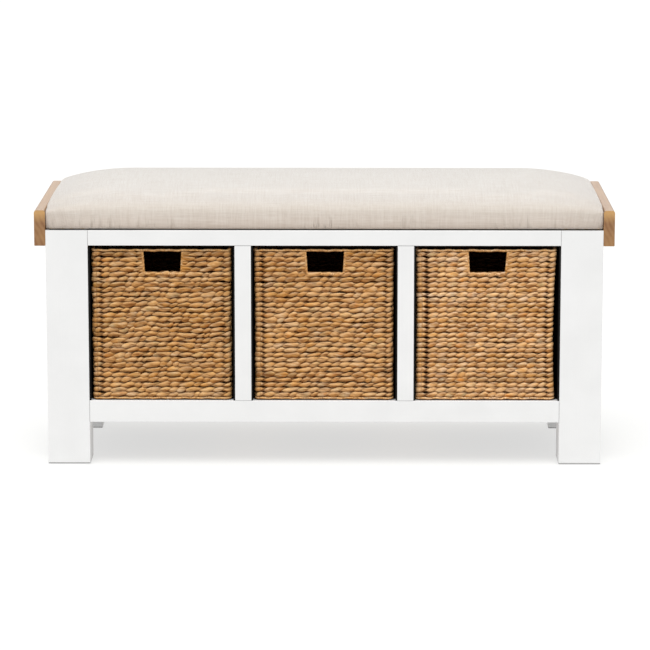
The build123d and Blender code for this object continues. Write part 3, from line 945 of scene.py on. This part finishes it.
def build_pad(material, under_material):
    low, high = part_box("pad_cover")
    shape = pad_surface(low, high, START_INSET)
    mesh = bpy.data.meshes.new("seat_cushion")
    shape.to_mesh(mesh)
    shape.free()
    piece = bpy.data.objects.new("seat_cushion", mesh)
    scene.collection.objects.link(piece)
    remesh = piece.modifiers.new("even_faces", "REMESH")
    remesh.mode = "VOXEL"
    remesh.voxel_size = VOXEL
    apply_modifiers(piece)
    inflate(piece, low.z)
    smooth = piece.modifiers.new("smooth", "SMOOTH")
    smooth.factor, smooth.iterations = 0.5, 3
    piece.modifiers.new("finer", "SUBSURF").levels = 1
    apply_modifiers(piece)
    points = keep_off_boards(gather_corners(points_of(piece.data), low, high))
    piece.data.vertices.foreach_set("co", points.astype(np.float32).ravel())
    layer = piece.data.attributes.new("cloth", "FLOAT_VECTOR", "POINT")
    coordinates = cloth_coordinates(points, high)
    layer.data.foreach_set("vector", coordinates.astype(np.float32).ravel())
    piece.data.materials.clear()
    piece.data.materials.append(material)
    piece.data.shade_smooth()
    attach(piece, "seat_pad")
    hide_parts("pad_cover", "pad_foam")
    build_dust_cloth(under_material)


def build_dust_cloth(material):
    """The thin cloth under the pad: slack between its staples."""
    low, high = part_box("pad_dust_cover")
    across, deep = 120, 46
    x = np.linspace(low.x, high.x, across + 1)
    y = np.linspace(low.y, high.y, deep + 1)
    grid_x, grid_y = np.meshgrid(x, y, indexing="ij")
    edge = np.minimum(high.x - np.abs(grid_x), high.y - np.abs(grid_y))
    slack = np.clip(edge / (25 * MM), 0, 1)
    wave = 0.5 + 0.5 * np.sin(grid_x * 45 + 3 * np.sin(grid_y * 17)) * np.sin(grid_y * 38)
    under = low.z + 0.45 * MM * (1 - slack * wave)
    top = under + 0.4 * MM
    layers = [np.stack([grid_x, grid_y, z], -1).reshape(-1, 3) for z in (under, top)]
    index = np.arange(grid_x.size).reshape(grid_x.shape)
    cell = [index[:-1, :-1], index[1:, :-1], index[1:, 1:], index[:-1, 1:]]
    upper = np.stack(cell, -1).reshape(-1, 4) + grid_x.size
    lower = np.stack(cell[::-1], -1).reshape(-1, 4)
    rim = np.concatenate([index[:, 0], index[-1, 1:], index[::-1, -1][1:], index[0, ::-1][1:-1]])
    following = np.roll(rim, -1)
    size = grid_x.size
    wall = np.stack([rim, following, following + size, rim + size], -1)
    faces = np.concatenate([upper, lower, wall])
    piece = new_piece("pad_dust_cloth", np.concatenate(layers), faces, material)
    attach(piece, "seat_pad")
    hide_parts("pad_dust_cover")


# ---------------------------------------------------------------- CAD nodes' finishes


def paint(node, material):
    piece = nodes[node]
    piece.data.materials.clear()
    piece.data.materials.append(material)


def finish_cad_nodes():
    leg_low, leg_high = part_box("front_right_leg")
    bay = (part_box("front_bottom_rail")[1].z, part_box("front_top_rail")[0].z)
    long_rail = painted_wood("white_paint_long_rail", 0, (-leg_low.x, leg_low.x))
    side_rail = painted_wood("white_paint_side_rail", 1, (leg_high.y, -leg_high.y))
    pine = ((0.62, 0.44, 0.25), (0.50, 0.31, 0.15))
    ply = raw_wood("birch_plywood", (0.66, 0.50, 0.32), (0.55, 0.39, 0.22), 0, 14)
    # the linings and shelf are black as painted shade inside the bays
    dark = black_board("black_board_painted_bay_shade")
    # the legs' foot line is painted shadow where they meet the floor
    leg_foot_shadow_ends = (leg_low.z + FOOT_SHADOW_LINE, leg_high.z + 1)
    finishes = {
        "_leg": painted_wood("white_paint_leg_foot_shadow", 2, leg_foot_shadow_ends),
        "_side_panel": painted_wood("white_paint_z_grain", 2),
        "back_panel": painted_wood("white_paint_x_grain", 0),
        "_stile": painted_wood("white_paint_stile", 2, bay),
        "_lining": dark,
        "bay_shelf": dark,
        "_end_board": oak(),
        "_screws": zinc_steel(),
        "_wire_frame": black_wire(),
        "_divider_post": raw_wood("planed_pine_upright", *pine, 2, 45),
        "_batten": raw_wood("planed_pine_deep", *pine, 1, 45),
        "_cleat": raw_wood("planed_pine", *pine, 0, 45),
        "top_panel": ply,
        "pad_base_board": ply,
        "leg_glides": glide_plastic(),
    }
    for node in nodes:
        for ending, material in finishes.items():
            if node.endswith(ending):
                paint(node, material)
        if node.endswith("_rail"):
            low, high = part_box(node)
            paint(node, long_rail if high.x - low.x > high.y - low.y else side_rail)


# ---------------------------------------------------------------- studio

CAMERA_PLACE = (0.0420, -6.411, 1.428)
CAMERA_PITCH, CAMERA_YAW = 10.54, 0.375  # degrees down and to the left
LENS = 183.8
FLOOR_GLOW, WORLD_LIGHT = 0.65, 0.66
SUN_TURN, SUN_STRENGTH, SUN_SPREAD = (19.5, 0, -8), 2.5, 50  # degrees, W/m2, degrees


def build_studio():
    camera = bpy.data.objects.new("camera", bpy.data.cameras.new("camera"))
    camera.data.lens = LENS
    camera.data.sensor_width = 36
    camera.data.clip_end = 200
    camera.location = CAMERA_PLACE
    camera.rotation_euler = (math.radians(90 - CAMERA_PITCH), 0, math.radians(CAMERA_YAW))
    scene.collection.objects.link(camera)
    scene.camera = camera

    bpy.ops.mesh.primitive_plane_add(size=120)
    floor = bpy.context.object
    floor.name = "floor"
    g = Graph("studio_floor", 0.95, 0.0)
    g.finish((0.30, 0.30, 0.293, 1))
    g.shader.inputs["Emission Color"].default_value = (1, 1, 0.995, 1)
    g.shader.inputs["Emission Strength"].default_value = FLOOR_GLOW
    floor.data.materials.append(g.material)

    world = bpy.data.worlds.new("studio")
    world.use_nodes = True
    background = world.node_tree.nodes["Background"]
    background.inputs["Color"].default_value = (1, 1, 1, 1)
    background.inputs["Strength"].default_value = WORLD_LIGHT
    scene.world = world

    lamp = bpy.data.lights.new("overhead", "SUN")
    lamp.energy = SUN_STRENGTH
    lamp.angle = math.radians(SUN_SPREAD)
    sun = bpy.data.objects.new("overhead", lamp)
    sun.rotation_euler = [math.radians(value) for value in SUN_TURN]
    scene.collection.objects.link(sun)
    scene.view_settings.view_transform = "Standard"
    scene.view_settings.look = "None"


# ---------------------------------------------------------------- assembly

build_studio()
finish_cad_nodes()
for basket_name, basket_spec in BASKETS.items():
    build_basket(basket_name, basket_spec)
build_pad(linen(), dust_cloth())
